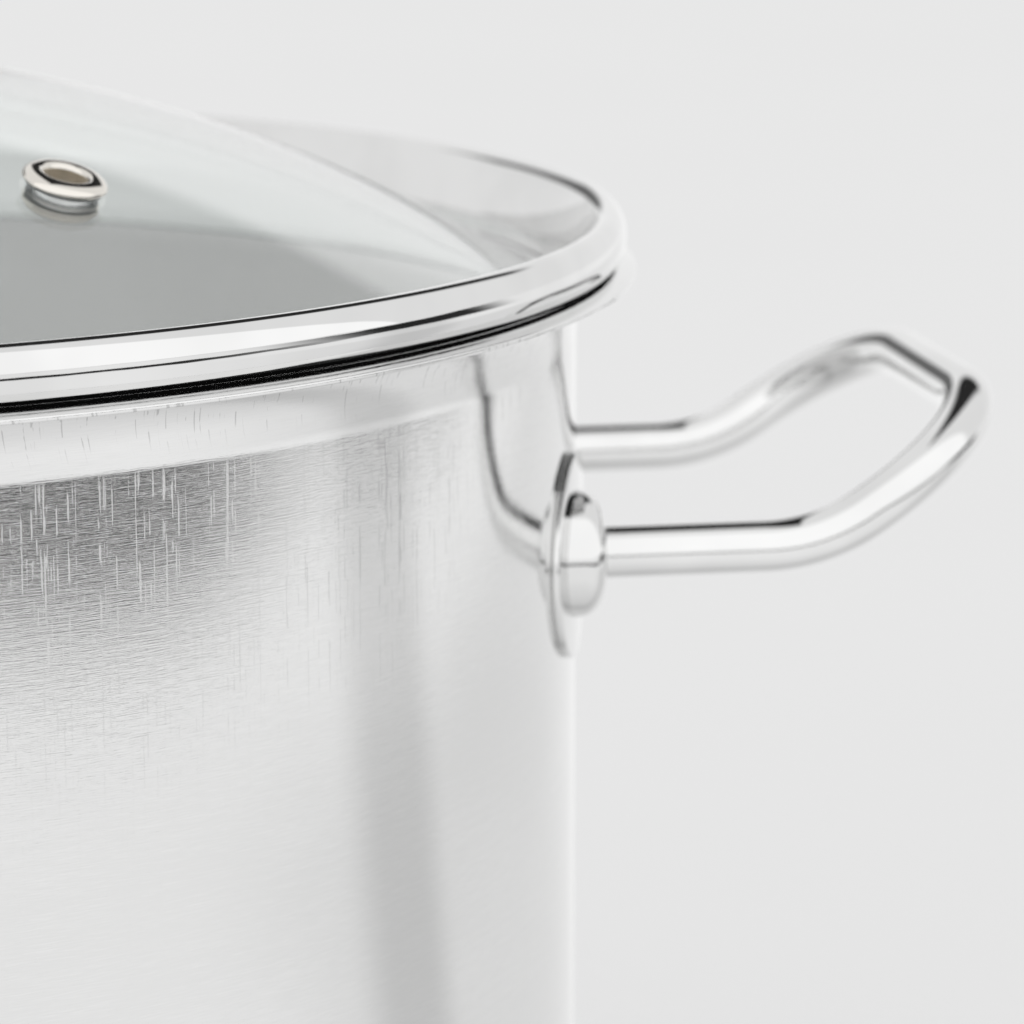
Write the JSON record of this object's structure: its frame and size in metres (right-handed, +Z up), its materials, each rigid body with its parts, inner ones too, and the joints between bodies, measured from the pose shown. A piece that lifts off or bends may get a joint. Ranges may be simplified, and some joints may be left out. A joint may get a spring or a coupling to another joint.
{
  "type": "stock pot",
  "caption": "Tall stainless-steel stock pot with a turned-out rim, bent-rod side handles, an encapsulated base, and a vented glass lid with a steel band and a knob.",
  "frame": {"origin": "centre of the flat face that the pot stands on", "axes": "+Z up along the pot's axis; the handles point along +X and -X; the lid's vent lies towards +X and -Y"},
  "size_m": [0.4138, 0.3004, 0.3049],
  "materials": {
    "brushed_steel": "satin stainless steel with fine brushed lines",
    "polished_steel": "mirror-polished stainless steel",
    "band_steel": "mirror-polished stainless steel strip",
    "base_steel": "stainless steel, turned in circles",
    "core_aluminium": "plain",
    "clear_glass": "clear tempered glass, faintly green",
    "silicone": "soft matt silicone",
    "vent_nickel": "bright metal, slightly warm",
    "knob_steel": "polished stainless steel",
    "fastener_steel": "plain stainless steel"
  },
  "bodies": {
    "pot": {"pot_shell": "brushed_steel", "base_core": "core_aluminium", "base_cap": "base_steel", "right_handle_bar": "polished_steel", "right_handle_front_collar": "polished_steel", "right_handle_rear_collar": "polished_steel", "right_handle_front_plate": "polished_steel", "right_handle_rear_plate": "polished_steel", "left_handle_bar": "polished_steel", "left_handle_front_collar": "polished_steel", "left_handle_rear_collar": "polished_steel", "left_handle_front_plate": "polished_steel", "left_handle_rear_plate": "polished_steel"},
    "lid": {"lid_glass": "clear_glass", "lid_rim_band": "band_steel", "lid_rim_seal": "silicone", "vent_eyelet": "vent_nickel", "vent_grommet": "silicone", "vent_washer": "vent_nickel", "knob": "knob_steel", "knob_base_plate": "knob_steel", "knob_upper_gasket": "silicone", "knob_lower_gasket": "silicone", "knob_washer": "fastener_steel", "knob_screw": "fastener_steel"}
  },
  "joints": [
    {"name": "lid_lift", "type": "slide", "parent": "pot", "child": "lid", "axis": [0, 0, 1], "range_m": [0, 0.12]}
  ]
}
